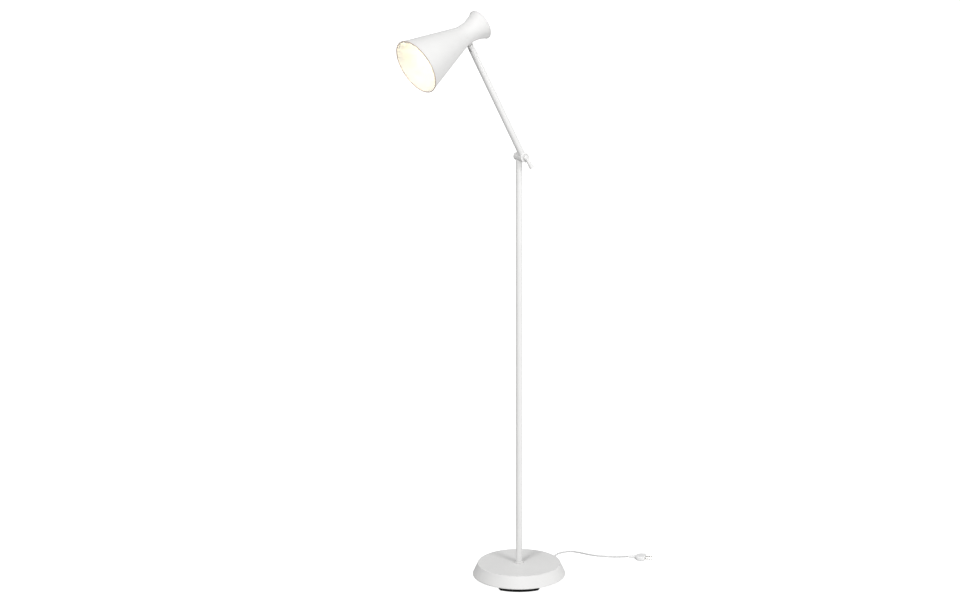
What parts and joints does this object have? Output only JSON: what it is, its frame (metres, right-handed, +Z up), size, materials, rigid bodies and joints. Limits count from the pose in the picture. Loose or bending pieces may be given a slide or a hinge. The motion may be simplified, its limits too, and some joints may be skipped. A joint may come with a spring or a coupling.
{
  "type": "adjustable arm floor lamp",
  "caption": "White adjustable arm floor lamp: round weighted base, slim pole, clamped swinging arm and a conical shade on a tilting, swivelling knuckle, with its cord and plug.",
  "frame": {"origin": "on the floor, under the middle of the base", "axes": "+Z up the pole, the arm swings in the XZ plane and leans towards -X, +Y to the back of the pivot"},
  "size_m": [0.7092, 0.2649, 1.4561],
  "materials": {
    "white_paint": "satin",
    "cast_weight": "rough",
    "black_tray": "matte",
    "black_rubber": "matte",
    "zinc_steel": "brushed",
    "screw_steel": "satin",
    "fibre_washer": "matte",
    "pale_cord": "satin",
    "plug_plastic": "satin",
    "pin_metal": "polished",
    "tie_strap": "matte",
    "grey_plastic": "matte",
    "holder_plastic": "glossy",
    "black_button": "glossy",
    "frosted_glass": "frosted"
  },
  "bodies": {
    "stand": {"base_cover": "white_paint", "base_weight": "cast_weight", "base_plate": "black_tray", "foot_strips": "black_rubber", "base_screws": "zinc_steel", "base_stud": "zinc_steel", "base_washer": "zinc_steel", "base_nut": "zinc_steel", "pole_collar": "white_paint", "pole_foot_bush": "zinc_steel", "pole_lower": "white_paint", "pole_middle": "white_paint", "pole_upper": "white_paint", "coupler_lower": "zinc_steel", "coupler_upper": "zinc_steel", "pivot_body": "white_paint", "pivot_nipple": "zinc_steel", "friction_washer": "fibre_washer", "stop_pin": "zinc_steel", "cord_gland": "pale_cord", "cord_grip": "grey_plastic", "grip_screws": "zinc_steel", "base_flex": "pale_cord", "terminal_block": "grey_plastic", "pole_lead": "pale_cord", "cord_lead_in": "pale_cord", "cord_coil": "pale_cord", "cord_run": "pale_cord", "cord_tie": "tie_strap", "plug_body": "plug_plastic", "plug_pins": "pin_metal"},
    "clamp": {"clamp_lever": "white_paint"},
    "arm": {"arm_head": "white_paint", "arm_tube": "white_paint", "arm_plug": "zinc_steel", "swivel_nut": "zinc_steel", "arm_lead": "pale_cord"},
    "ferrule": {"end_ferrule": "white_paint", "knuckle_screws": "screw_steel"},
    "shade": {"knuckle_tongue": "white_paint", "shade_front": "white_paint", "shade_neck": "white_paint", "back_cap": "white_paint", "switch_body": "black_tray", "holder_bracket": "zinc_steel", "holder_nipple": "zinc_steel", "holder_nut": "zinc_steel", "lampholder": "holder_plastic", "holder_ring": "holder_plastic", "bulb_cap": "pin_metal", "bulb_glass": "frosted_glass", "shade_lead": "pale_cord", "holder_lead": "pale_cord"},
    "button": {"switch_button": "black_button"}
  },
  "joints": [
    {"name": "arm_swing", "type": "hinge", "parent": "stand", "child": "arm", "pos_m": [0, -0.0166, 1.0883], "axis": [0, -1, 0], "range_deg": [-119, 60.8]},
    {"name": "clamp_turn", "type": "hinge", "parent": "stand", "child": "clamp", "pos_m": [0, -0.028, 1.0883], "axis": [0, -1, 0], "range_deg": [-40, 40]},
    {"name": "arm_end_swivel", "type": "hinge", "parent": "arm", "child": "ferrule", "pos_m": [-0.1488, -0.0166, 1.35454], "axis": [-0.4879, 0, 0.8729], "range_deg": [-150, 150]},
    {"name": "shade_tilt", "type": "hinge", "parent": "ferrule", "child": "shade", "pos_m": [-0.15782, -0.0166, 1.37069], "axis": [0, 1, 0], "range_deg": [-60, 45]},
    {"name": "switch_press", "type": "slide", "parent": "shade", "child": "button", "axis": [-0.9135, 0, -0.4067], "range_m": [0, 0.0025], "stiffness_N_per_m": 400, "springref_m": -0.001}
  ]
}
